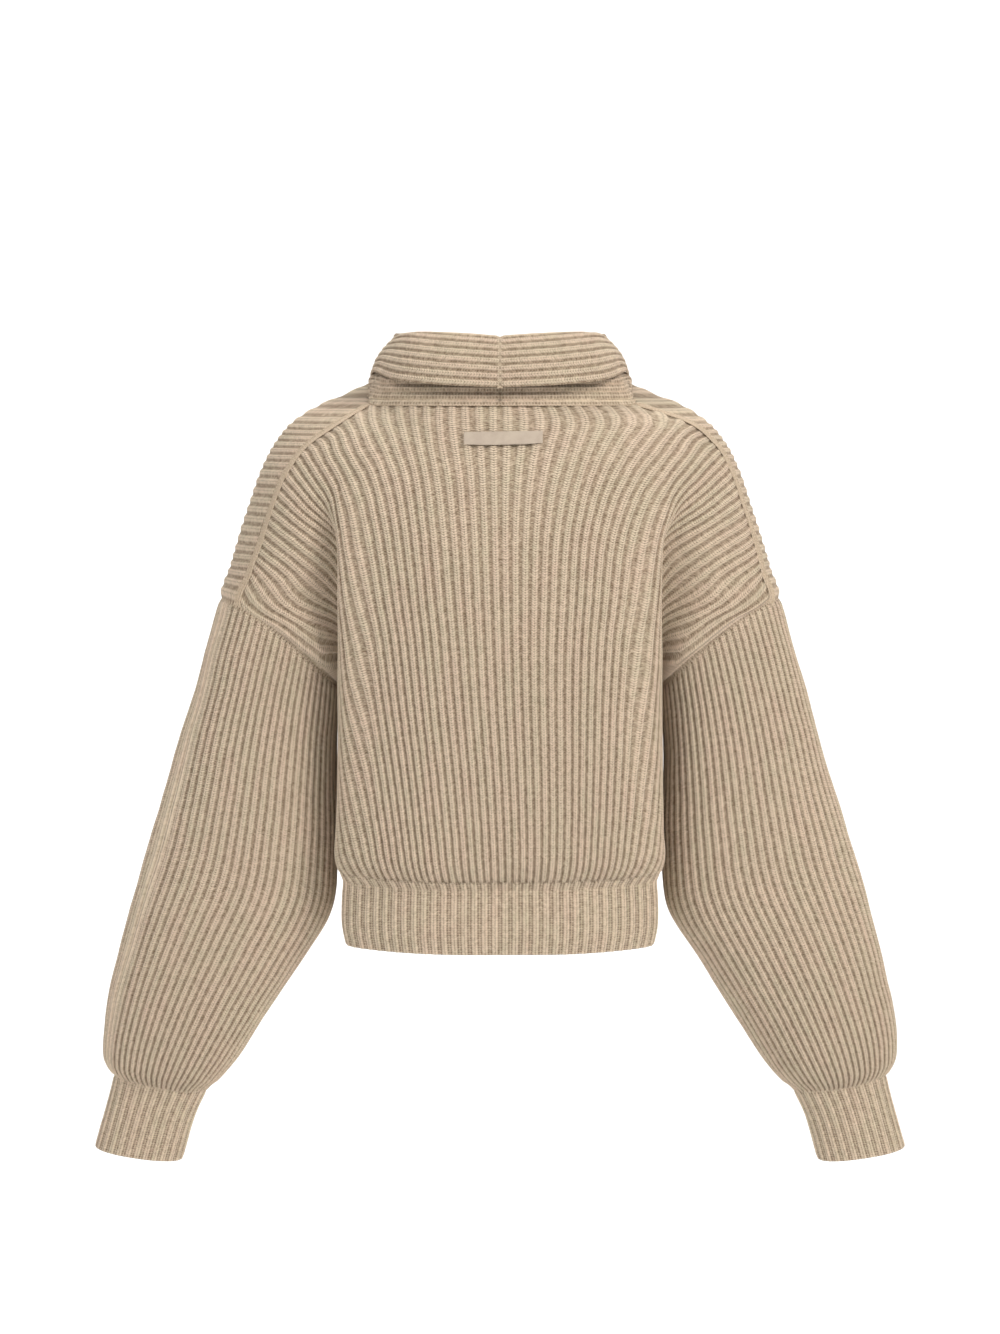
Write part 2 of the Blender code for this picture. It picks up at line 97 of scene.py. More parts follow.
# Rings: outer end x and z, inner end x and z, half depth, middle y, slant.
SLEEVE_RINGS = (
    (279.5, -242, 154, -306, 50, -1, 1.2),
    (297.5, -300, 154.5, -352, 52, -3, 1.05),
    (315, -358, 154.5, -414, 54, -5, 1),
    (333.5, -417, 159, -474, 55, -7, 1),
    (351.5, -476, 190, -527, 54, -9, 1),
    (368, -537, 226, -582, 50, -11, 1),
    (378, -586, 253, -624, 45, -12, 1),
    (380.5, -620, 269, -644, 39, -13, 1),
    (376, -634, 277.5, -650.5, 33, -13, 1),
    (371, -640, 283, -657, 27.5, -13, 1),
)
CUFF_RINGS = (
    (371, -640.5, 283, -657.5, 27.5, -13, 1),
    (377.5, -666, 295, -684, 26, -14, 1),
    (391, -712, 307, -725, 25, -15, 1),
)
# Share of the neck seam's length, the fold, the free edge and the fold's radius.
COLLAR_SECTIONS = (
    (0.00, (0, 54, 62), (0, 76, 16), 6),
    (0.16, (50, 50, 65.5), (60, 72, 19), 6.5),
    (0.29, (85, 34, 66.5), (101, 51, 24), 8),
    (0.40, (96, -1, 63), (119, 10, 31), 8),
    (0.52, (84, -47, 50), (121, -50, 6), 7),
    (0.65, (59, -84, 0), (113, -88, -38), 6),
    (0.78, (32, -103, -55), (84, -105, -84), 5),
    (0.91, (13, -109, -112), (42, -109, -132), 4),
    (1.00, (3, -104, -148), (8, -106, -158), 2.5),
)
BACK_ROWS = (1, -15, -35, -60, -90, -125, -155, -180, -200, -222, -244, -262,
             -300, -345, -390, -423, -440)
FRONT_ROWS = (20, 12, 1, -15, -35, -60, -90, -125, -150, -180, -200, -222, -244, -262,
              -300, -345, -390, -423, -440)

# ---- the knit
WALL = 2.4                # thickness of the cloth
RESTING_PITCH = 7.4       # distance between ribs up to which the knit isn't pulled open,
OPEN_PITCH = 11.0         # and from which it is fully so
RIBS_PER_HALF = 33        # ribs from the centre of the back or front to its side seam
SLEEVE_RIBS = 56
CUFF_RIBS = 26
COLLAR_RIBS = 17
COURSE = 2.3              # height of one row of stitches
CORNER_COURSE = 205.0     # the course at the front's corner over the shoulder
RIB_HEIGHT = 2.1
RIB_CUTS = (0.0, 0.17, 0.31, 0.43, 0.57, 0.69, 0.83)    # where a rib has a column of points
EDGE_STEPS = (0.0, 1.5, 3.2, 5.5)                       # the first rows beside a seam

# Which rib passes where: a height, and the share of the half's ribs at the crest, the crease,
# the bulge and the outer edge of its section.
RIB_LEVELS = (
    (20, 0.160, 0.184, 0.212, 0.235),
    (12, 0.180, 0.207, 0.238, 0.262),
    (1, 0.207, 0.236, 0.268, 0.294),
    (-15, 0.255, 0.290, 0.330, 0.357),
    (-32, 0.316, 0.364, 0.420, 0.450),
    (-50, 0.375, 0.430, 0.490, 0.540),
    (-87, 0.468, 0.540, 0.628, 0.680),
    (-130, 0.502, 0.650, 0.747, 0.826),
    (-180, 0.535, 0.765, 0.885, 1),
    (-211, 0.560, 0.872, 0.938, 1),
    (-240, 0.578, 0.950, 0.978, 1),
    (-262, 0.590, 0.930, 0.970, 1),
    (-330, 0.630, 0.830, 0.925, 1),
    (-405, 0.690, 0.830, 0.920, 1),
    (-440, 0.735, 0.840, 0.925, 1),
)
SHARES_ON_BODY = (0.41, 0.77)       # ribs passed at the two stations before the crest
# How many ribs the middle of the back has drifted to the wearer's left.
DRIFT_LEVELS = ((20, 0), (-100, 0), (-180, 0.17), (-216, 0.3), (-271, 0.6), (-327, 1.07),
                (-405, 1.64), (-440, 1.8))
RIBS_END_Z = -432.0       # where every second rib of the body ends, above the hem's seam
BAND_RIBS = 46            # ribs of the hem band from side to side
BAND_SWELL = 0.6          # how far the hem band's ribs are raised
END_SWELL = 0.4           # how far the body's ribs still are where they end
ENDS_OVER = 4.0           # height over which they fall to that
PLAIN_COLUMN = 4.0        # rib of the left sleeve where a plainer column runs down its outside
FOOT_TUCK = 1.6           # how far the collar's foot reaches into the neck seam
SHARP_ANGLE = math.radians(62.0)


# ---- interpolation
def column(table, names, name):
    return np.array([row[names.index(name)] for row in table], dtype=float)


def slopes(t, y):
    step = np.diff(t).reshape((-1,) + (1,) * (y.ndim - 1))
    rise = np.diff(y, axis=0) / step
    share = step[1:] / (step[:-1] + step[1:])
    return np.concatenate([rise[:1], share * rise[:-1] + (1.0 - share) * rise[1:], rise[-1:]])


def curve(t, y, at):
    """Smooth curve through the values y at the rising knots t, read at the values at."""
    t = np.asarray(t, dtype=float)
    y = np.asarray(y, dtype=float)
    at = np.clip(np.atleast_1d(np.asarray(at, dtype=float)), t[0], t[-1])
    m = slopes(t, y)
    i = np.clip(np.searchsorted(t, at, side="right") - 1, 0, len(t) - 2)
    h = t[i + 1] - t[i]
    f = (at - t[i]) / h
    shape = (-1,) + (1,) * (y.ndim - 1)
    f, h = f.reshape(shape), h.reshape(shape)
    return ((2 * f**3 - 3 * f**2 + 1) * y[i] + (f**3 - 2 * f**2 + f) * h * m[i]
            + (3 * f**2 - 2 * f**3) * y[i + 1] + (f**3 - f**2) * h * m[i + 1])


def at_heights(knots, values, z):
    """Smooth curve through values at falling heights, read at the heights z."""
    return curve(-np.asarray(knots, dtype=float), values, -np.asarray(z, dtype=float))


def level(table, names, name, z):
    return float(at_heights(column(table, names, "z"), column(table, names, name), z)[0])


def section(stations, steps):
    """Points along a smooth curve through the stations, steps[i] of them from i to i + 1."""
    stations = np.asarray(stations, dtype=float)
    chord = np.sqrt(np.linalg.norm(np.diff(stations, axis=0), axis=1))
    t = np.concatenate([[0.0], np.cumsum(np.maximum(chord, 0.2))])
    at = [np.linspace(t[i], t[i + 1], n, endpoint=False) for i, n in enumerate(steps)]
    return curve(t, stations, np.concatenate(at + [t[-1:]]))


def lengths(points):
    """Distance from the first point, along a line of points or down each column of a grid."""
    steps = np.linalg.norm(np.diff(points, axis=0), axis=-1)
    return np.concatenate([np.zeros_like(steps[:1]), np.cumsum(steps, axis=0)])


def along(points, shares):
    """Points at the given shares of a polyline's length."""
    length = lengths(points)
    at = np.asarray(shares) * length[-1]
    return np.stack([np.interp(at, length, points[:, k]) for k in range(3)], axis=-1)


def smoothed(points, times):
    """Points drawn towards their neighbours, the first and the last kept."""
    points = points.copy()
    for _ in range(times):
        points[1:-1] = 0.25 * points[:-2] + 0.5 * points[1:-1] + 0.25 * points[2:]
    return points


def blend(a, b, share):
    return np.asarray(a, dtype=float) * (1.0 - share) + np.asarray(b, dtype=float) * share


def unit(vectors):
    return vectors / np.maximum(np.linalg.norm(vectors, axis=-1, keepdims=True), 1e-9)


def ease(value):
    value = np.clip(value, 0.0, 1.0)
    return value * value * (3.0 - 2.0 * value)


def bilinear(table, row, col):
    """Reads a table of points between its rows and columns."""
    row = np.clip(row, 0, table.shape[0] - 1.0001)
    col = np.clip(col, 0, table.shape[1] - 1.0001)
    r, c = row.astype(int), col.astype(int)
    fr, fc = row - r, col - c
    if table.ndim == 3:
        fr, fc = fr[..., None], fc[..., None]
    top = table[r, c] * (1 - fc) + table[r, c + 1] * fc
    low = table[r + 1, c] * (1 - fc) + table[r + 1, c + 1] * fc
    return top * (1 - fr) + low * fr


# ---- the plain surface
def shoulder(name, z):
    return level(SHOULDER_LEVELS, SHOULDER_COLUMNS, name, z)


def body(name, z):
    return level(BODY_LEVELS, BODY_COLUMNS, name, z)


def ring_point(ring, angle):
    """A point of a sleeve ring: angle 0 is its outer end, 90 degrees the back, 180 the inner end."""
    out_x, out_z, in_x, in_z, half_depth, mid_y, slant = ring
    c, s = np.cos(angle), np.sin(angle)
    power = 2.0 / RING_ROUNDNESS
    across = 0.5 * (1.0 - np.sign(c) * np.abs(c) ** power)
    behind = np.sign(s) * np.abs(s) ** power
    return np.stack([out_x + (in_x - out_x) * across, mid_y + half_depth * behind,
                     out_z + (in_z - out_z) * across ** slant], axis=-1)


def armhole_angle(side):
    angles = np.linspace(0.0, math.pi, 181)
    return float(np.interp(-shoulder(side + "_x", ARMHOLE_TOP_Z), -ring_point(ARMHOLE, angles)[:, 0], angles))


def shoulder_seam(side, z):
    return np.array([shoulder(side + "_x", z), shoulder(side + "_y", z), z])


def panel_edge(z, start_angle, end_angle):
    """Outer edge of a panel below the shoulders: the armhole, then the side seam."""
    if z > UNDERARM_Z:
        seam = ring_point(ARMHOLE, np.linspace(start_angle, end_angle, 121))
        return along(seam, (ARMHOLE_TOP_Z - z) / (ARMHOLE_TOP_Z - UNDERARM_Z))
    return np.array([body("side_x", z), 0.0, z])


def depth_at(x, centre_y, edge):
    share = min(max(x / edge[0], 0.0), 1.0)
    return edge[1] + (centre_y - edge[1]) * (1.0 - share ** PLAIN_POWER)


def creased_stations(z, edge, crease_share):
    """Stations from the centre outwards: centre, two on the body, crest, crease and bulge."""
    centre_y = shoulder("back_y", z) if z > BODY_LEVELS[0][0] else body("back_y", z)
    creased = ease((CREASE_START_Z - z) / (CREASE_START_Z - CREASE_FULL_Z))
    below = ease((UNDERARM_Z + BULGE_FADES_OVER - z) / BULGE_FADES_OVER)
    plain = [np.array([x, depth_at(x, centre_y, edge), z]) for x in np.array(PLAIN_SHARES) * edge[0]]
    crest = blend(plain[0], (body("crest_x", z), body("crest_y", z), z), creased)
    deep_y = blend(crest[1], body("crease_y", z), crease_share)
    crease = blend(plain[1], (body("crease_x", z), deep_y, z), creased)
    full = blend(crease, edge, 0.5) + np.array([0.0, ARM_BULGE * (1.0 - below), 0.0])
    bulge = blend(plain[2], full, creased)
    on_body = []
    for share in BODY_SHARES:
        x = share * crest[0]
        folded_y = centre_y - (centre_y - crest[1]) * share ** body("fullness", z)
        on_body.append(np.array([x, blend(depth_at(x, centre_y, edge), folded_y, creased), z]))
    return np.array([np.array([0.0, centre_y, z])] + on_body + [crest, crease, bulge])


FINE = 12                 # points between two stations of a surface table
SPAN = 6 * FINE           # points from the centre of a panel to its edge


def half_section(side, z):
    """Back and front points of one half at a height, both from the centre outwards."""
    if z > ARMHOLE_TOP_Z:
        back_edge = shoulder_seam(side, z)
        corner = shoulder_seam("left", z) * TO_FRONT
    else:
        back_edge = panel_edge(z, armhole_angle(side), math.pi)
        corner = panel_edge(z, -armhole_angle("left"), -math.pi)
    ridge = np.array([shoulder("outline_x", z), 0.0, z])
    shallow = np.array([1.0, -FRONT_DEPTH, 1.0])
    back = creased_stations(z, back_edge, 1.0)
    front = np.vstack([creased_stations(z, corner / shallow, FRONT_CREASE) * shallow, corner])
    before, after = back[1] * MIRROR, front[1] * MIRROR
    if z > ARMHOLE_TOP_Z:
        line = np.vstack([before, back, back_edge, ridge, front[::-1], after])
        whole = section(line, (1,) + (FINE,) * 14 + (1,))[1:-1]
        return whole[:SPAN + 1], whole[SPAN:][::-1]
    if z > UNDERARM_Z:
        back_points = section(np.vstack([before, back, back_edge]), (1,) + (FINE,) * 6)[1:]
        front_points = section(np.vstack([front[::-1], after]), (FINE,) * 6 + (1,))[:-1]
    else:
        line = np.vstack([before, back, front[::-1], after])
        whole = section(line, (1,) + (FINE,) * 12 + (1,))[1:-1]
        back_points, front_points = whole[:SPAN + 1], whole[SPAN:]
    strip = np.zeros((2 * FINE, 3))
    if z == ARMHOLE_TOP_Z:
        angles = np.concatenate([np.linspace(armhole_angle(side), 0.0, FINE, endpoint=False),
                                 np.linspace(0.0, -armhole_angle("left"), FINE, endpoint=False)])
        strip = ring_point(ARMHOLE, angles)
    return back_points, np.vstack([strip, front_points])[::-1]


LEVELS = np.arange(20.0, HEM_JOIN_Z - 0.1, -1.0)
RISING = np.arange(SPAN + 1) * 1e-6         # keeps a row's values rising where they stand still


def surface_tables(side):
    """The back, the front and the shoulder strip of one half, on close levels and close stations."""
    sections = {z: half_section(side, z) for z in {*FRONT_ROWS, *BACK_ROWS}}
    back = at_heights(BACK_ROWS, [sections[z][0] for z in BACK_ROWS], LEVELS)
    front = at_heights(FRONT_ROWS, [sections[z][1][:SPAN + 1] for z in FRONT_ROWS], LEVELS)
    upper = [z for z in FRONT_ROWS if z >= ARMHOLE_TOP_Z]
    strip = at_heights(upper, [sections[z][1][SPAN:] for z in upper], LEVELS)
    fade = np.linspace(1.0, 0.0, 2 * FINE + 1)[None, :, None]
    return back, front, strip + (front[:, -1:] - strip[:, :1]) * fade


def level_row(z):
    return LEVELS[0] - np.asarray(z, dtype=float)


def rib_table():
    """Which rib passes each point of a half section, for all levels: rib share by station."""
    knots, *levels = zip(*RIB_LEVELS)
    crest, crease, bulge, edge = (at_heights(knots, shares, LEVELS) for shares in levels)
    edge = np.where(LEVELS <= ARMHOLE_TOP_Z, 1.0, np.minimum(edge, 1.0))
    shares = [np.zeros_like(crest)] + [crest * s for s in SHARES_ON_BODY] + [crest, crease, bulge, edge]
    table = curve(np.arange(7), np.stack(shares), np.linspace(0, 6, SPAN + 1)).T
    return np.maximum.accumulate(table + RISING, axis=1), edge


def rib_numbers(count, first=0):
    """Rib coordinates of a sheet's columns: a whole number is a valley, a half its crest."""
    numbers = [i + cut for i in range(first, first + count) for cut in RIB_CUTS]
    return np.array(numbers + [first + count], dtype=float)


def row_shares(total, count):
    """Row positions, close together at both ends, for columns of the given lengths."""
    ends = np.array(EDGE_STEPS)
    middle = np.linspace(0.0, 1.0, count - 2 * len(ends) + 2)[1:-1]
    total = np.asarray(total, dtype=float)
    rows = [np.full_like(total, e) for e in ends]
    rows += [ends[-1] + (total - 2 * ends[-1]) * m for m in middle]
    rows += [total - e for e in ends[::-1]]
    return np.array(rows)


def stretch(points, ribs):
    """How far the knit is pulled open across, 0 at rest to 1, from the spacing of its ribs."""
    across = np.gradient(points, axis=1)
    width = np.linalg.norm(np.cross(across, unit(np.gradient(points, axis=0))), axis=-1)
    per_column = np.gradient(np.abs(np.gradient(ribs)).cumsum())[None, :]
    pitch = width / np.maximum(per_column, 1e-6)
    reach = 7                   # columns to each side over which the spacing is averaged
    kernel = np.full(2 * reach + 1, 1.0 / (2 * reach + 1))
    pitch = np.apply_along_axis(lambda row: np.convolve(np.pad(row, reach, mode="edge"), kernel, "valid"), 1, pitch)
    return ease((pitch - RESTING_PITCH) / (OPEN_PITCH - RESTING_PITCH))


# ---- mesh making
KNIT_VALUES = ("ribs", "swell", "opened", "seam", "banded")


def knit_patch(points, ribs, courses, swell, opened, seam=0.0, banded=0.0):
    """One grid of a sheet: points, rib and course numbers, how far its ribs are raised, how far the
    knit is pulled open, where it dips into a seam and is painted dark there as shade, and whether
    it is knitted flatter, as the hem band."""
    values = {"ribs": ribs, "courses": courses, "swell": swell, "opened": opened, "seam": seam, "banded": banded}
    patch = {key: np.broadcast_to(value, points.shape[:2]) for key, value in values.items()}
    return {"points": points, **patch}


def knit_mesh(name, patches, wrap=False):
    """A mesh of one or more grids, with its rib and course numbers as a UV map and point values."""
    verts, faces, uvs, values = [], [], [], {key: [] for key in KNIT_VALUES}
    base = 0
    for patch in patches:
        points = patch["points"]
        rows, across = points.shape[:2]
        kept = across - 1 if wrap else across
        ids = base + np.arange(rows * kept).reshape(rows, kept)
        verts.append(points[:, :kept].reshape(-1, 3) * MM)
        for key in KNIT_VALUES:
            values[key].append(patch[key][:, :kept].reshape(-1))
        if wrap:
            ids = np.hstack([ids, ids[:, :1]])
        corner = lambda a: np.stack([a[:-1, :-1], a[1:, :-1], a[1:, 1:], a[:-1, 1:]], axis=-1).reshape(-1, 4)
        faces.append(corner(ids))
        uvs.append(np.stack([corner(patch["ribs"]), corner(patch["courses"])], axis=-1).reshape(-1, 2))
        base += rows * kept
    mesh = bpy.data.meshes.new(name)
    mesh.from_pydata(np.vstack(verts).tolist(), [], np.vstack(faces).tolist())
    mesh.uv_layers.new(name="knit").data.foreach_set("uv", np.vstack(uvs).astype(np.float32).ravel())
    for key, parts in values.items():
        layer = mesh.attributes.new(key, "FLOAT", "POINT")
        layer.data.foreach_set("value", np.concatenate(parts).astype(np.float32))
    if len(patches) > 1:
        shape = bmesh.new()
        shape.from_mesh(mesh)
        bmesh.ops.remove_doubles(shape, verts=shape.verts, dist=2e-5)
        shape.to_mesh(mesh)
        shape.free()
    return mesh


def mirrored(patch):
    """The same sheet for the wearer's other side."""
    return {key: (value * MIRROR if key == "points" else value)[:, ::-1] for key, value in patch.items()}


def add_object(name, data):
    piece = bpy.data.objects.new(name, data)
    bpy.context.scene.collection.objects.link(piece)
    return piece


def add_nodes(piece, name, tree, values):
    """A Geometry Nodes modifier, its inputs set by their sockets' identifiers."""
    modifier = piece.modifiers.new(name, "NODES")
    modifier.node_group = tree
    for item in tree.interface.items_tree:
        if item.item_type == "SOCKET" and item.in_out == "INPUT" and item.name in values:
            modifier[item.identifier] = values[item.name]


def add_wall(piece, thickness, offset):
    wall = piece.modifiers.new("wall", "SOLIDIFY")
    wall.thickness = thickness * MM
    wall.offset = offset


def made_plain(piece):
    """The evaluated object as a plain mesh, its modifiers gone."""
    graph = bpy.context.evaluated_depsgraph_get()
    mesh = bpy.data.meshes.new_from_object(piece.evaluated_get(graph))
    mesh.name = piece.name
    old = piece.data
    piece.modifiers.clear()
    piece.data = mesh
    bpy.data.meshes.remove(old)
    mesh.shade_smooth()
    mesh.set_sharp_from_angle(angle=SHARP_ANGLE)
    return piece


# ---- node trees
class Tree:
    """Short ways to add and join nodes."""

    def __init__(self, tree):
        self.tree = tree

    def add(self, kind, given=(), **settings):
        """A node with its settings, and what its inputs are given: a value, a socket or a node."""
        node = self.tree.nodes.new(kind)
        for key, value in settings.items():
            setattr(node, key, value)
        for key, value in dict(given).items():
            if isinstance(value, bpy.types.Node):
                value = value.outputs[0]
            if isinstance(value, bpy.types.NodeSocket):
                self.tree.links.new(value, node.inputs[key])
            else:
                node.inputs[key].default_value = value
        return node

    def math(self, operation, *values):
        return self.add("ShaderNodeMath", enumerate(values), operation=operation).outputs[0]

    def times(self, first, *factors):
        for factor in factors:
            first = self.math("MULTIPLY", first, factor)
        return first

    def more(self, base, amount, factor):
        return self.math("MULTIPLY_ADD", amount, factor, base)

    def about_zero(self, value):
        return self.math("SUBTRACT", value, 0.5)

    def from_middle(self, number):
        """How far a running number is from the middle of its step: 0 there, 1 at the step's ends."""
        return self.times(self.math("ABSOLUTE", self.about_zero(self.math("FRACT", number))), 2.0)

    def between(self, value, low, high, to_low=0.0, to_high=1.0):
        """Smooth step of a value from low to high."""
        given = enumerate((value, low, high, to_low, to_high))
        return self.add("ShaderNodeMapRange", given, interpolation_type="SMOOTHSTEP").outputs[0]

    def mix(self, kind, share, a, b):
        """A share of b in a, both of the kind FLOAT or RGBA."""
        first, result = {"FLOAT": (2, 0), "RGBA": (6, 2)}[kind]
        return self.add("ShaderNodeMix", {0: share, first: a, first + 1: b}, data_type=kind).outputs[result]

    def noise(self, place, scale, detail=2.0):
        return self.add("ShaderNodeTexNoise", {"Vector": place, "Scale": scale, "Detail": detail}).outputs[0]

    def flat_point(self, a, b):
        return self.add("ShaderNodeCombineXYZ", {0: a, 1: b}).outputs[0]

    def named(self, name, kind="FLOAT"):
        """A value kept on the points of a mesh."""
        node = self.add("GeometryNodeInputNamedAttribute", {"Name": name}, data_type=kind)
        return node.outputs["Attribute"]


def geometry_tree(name, sizes):
    """A new tree that takes a piece, its sizes and its knit, and the sockets that give them."""
    tree = bpy.data.node_groups.new(name, "GeometryNodeTree")
    tree.interface.new_socket("Geometry", in_out="INPUT", socket_type="NodeSocketGeometry")
    for label, size in sizes.items():
        tree.interface.new_socket(label, in_out="INPUT", socket_type="NodeSocketFloat").default_value = size
    tree.interface.new_socket("Knit", in_out="INPUT", socket_type="NodeSocketMaterial")
    tree.interface.new_socket("Geometry", in_out="OUTPUT", socket_type="NodeSocketGeometry")
    t = Tree(tree)
    return t, t.add("NodeGroupInput").outputs


def end_tree(t, geometry, knit):
    """Real geometry in its own knit, as what the tree gives back."""
    real = t.add("GeometryNodeRealizeInstances", {0: geometry})
    clad = t.add("GeometryNodeSetMaterial", {"Geometry": real, "Material": knit})
    t.add("NodeGroupOutput", {0: clad})
    return t.tree


def rib_tree():
    """Raises the ribs of a knitted sheet along its normals."""
    t, given = geometry_tree("raised_ribs", {"Rib height": 0.002, "Softness": 0.001, "Unevenness": 0.0003,
                                             "Seam depth": 0.001})
    off = t.from_middle(t.named("ribs"))
    closed, pulled, flat = (t.between(off, crest, foot, 1.0, 0.0)
                            for crest, foot in ((0.28, 0.95), (0.22, 0.80), (0.22, 0.62)))
    profile = t.mix("FLOAT", t.named("opened"), closed, pulled)
    profile = t.mix("FLOAT", t.named("banded"), profile, flat)
    height = t.times(t.math("SUBTRACT", profile, 0.6), given["Rib height"], t.named("swell"))
    height = t.math("SUBTRACT", height, t.times(t.named("seam"), given["Seam depth"]))
    place = t.add("GeometryNodeInputPosition").outputs[0]
    for scale, detail, size in ((14.0, 1.0, "Softness"), (160.0, 2.0, "Unevenness")):
        height = t.more(height, t.about_zero(t.noise(place, scale, detail)), given[size])
    normal = t.add("GeometryNodeInputNormal")
    lift = t.add("ShaderNodeVectorMath", {0: normal, "Scale": height}, operation="SCALE")
    moved = t.add("GeometryNodeSetPosition", {"Geometry": given["Geometry"], "Offset": lift})
    return end_tree(t, moved, given["Knit"])


def chain_tree():
    """Sets one link of a stitch chain on every point, turned to the seam's way and face."""
    t, given = geometry_tree("stitch_chain", {"Link length": 0.004, "Link width": 0.003, "Yarn": 0.0006})
    loop = t.add("GeometryNodeCurvePrimitiveCircle", {"Resolution": 8, "Radius": 0.5})
    size = t.add("ShaderNodeCombineXYZ", {0: given["Link length"], 1: given["Link width"], 2: 1.0})
    shaped = t.add("GeometryNodeTransform", {"Geometry": loop, "Scale": size})
    yarn = t.add("GeometryNodeCurvePrimitiveCircle", {"Resolution": 5, "Radius": given["Yarn"]})
    link = t.add("GeometryNodeCurveToMesh", {"Curve": shaped, "Profile Curve": yarn})
    turned = t.add("FunctionNodeAlignRotationToVector", {"Vector": t.named("way", "FLOAT_VECTOR")}, axis="X")
    faced = t.add("FunctionNodeAlignRotationToVector", {"Rotation": turned, "Vector": t.named("out", "FLOAT_VECTOR")},
                  axis="Z", pivot_axis="X")
    points = t.add("GeometryNodeMeshToPoints", {"Mesh": given["Geometry"]})
    placed = t.add("GeometryNodeInstanceOnPoints", {"Points": points, "Instance": link, "Rotation": faced})
    return end_tree(t, placed, given["Knit"])


# ---- materials
LIGHT_WOOL = (0.74, 0.59, 0.435, 1.0)
# The wool in painted shade, also the dark end of its random tone.
SHADE_AND_DARK_TONE_WOOL = (0.20, 0.135, 0.08, 1.0)
PINK_WOOL = (0.70, 0.53, 0.395, 1.0)
GREEN_WOOL = (0.65, 0.545, 0.385, 1.0)
YARN_COLORS = (0.66, 0.53, 0.39, 1.0), (0.44, 0.33, 0.22, 1.0)
TAPE_COLORS = (0.45, 0.36, 0.28, 1.0), (0.51, 0.42, 0.325, 1.0)
TAPE_THREAD = (0.33, 0.26, 0.20, 1.0)


def new_material(name):
    """A material without nodes, its tree and the place of a point on the garment."""
    material = bpy.data.materials.new(name)
    material.use_nodes = True
    material.node_tree.nodes.clear()
    t = Tree(material.node_tree)
    return material, t, t.add("ShaderNodeTexCoord").outputs["Object"]


def end_material(t, color, relief, strength, depth, finish):
    """The shader: colour and fine relief, and the values that are the same all over the surface."""
    bump = t.add("ShaderNodeBump", {"Strength": strength, "Distance": depth, "Height": relief})
    shader = t.add("ShaderNodeBsdfPrincipled", {"Base Color": color, "Normal": bump, **finish})
    t.add("ShaderNodeOutputMaterial", {0: shader})


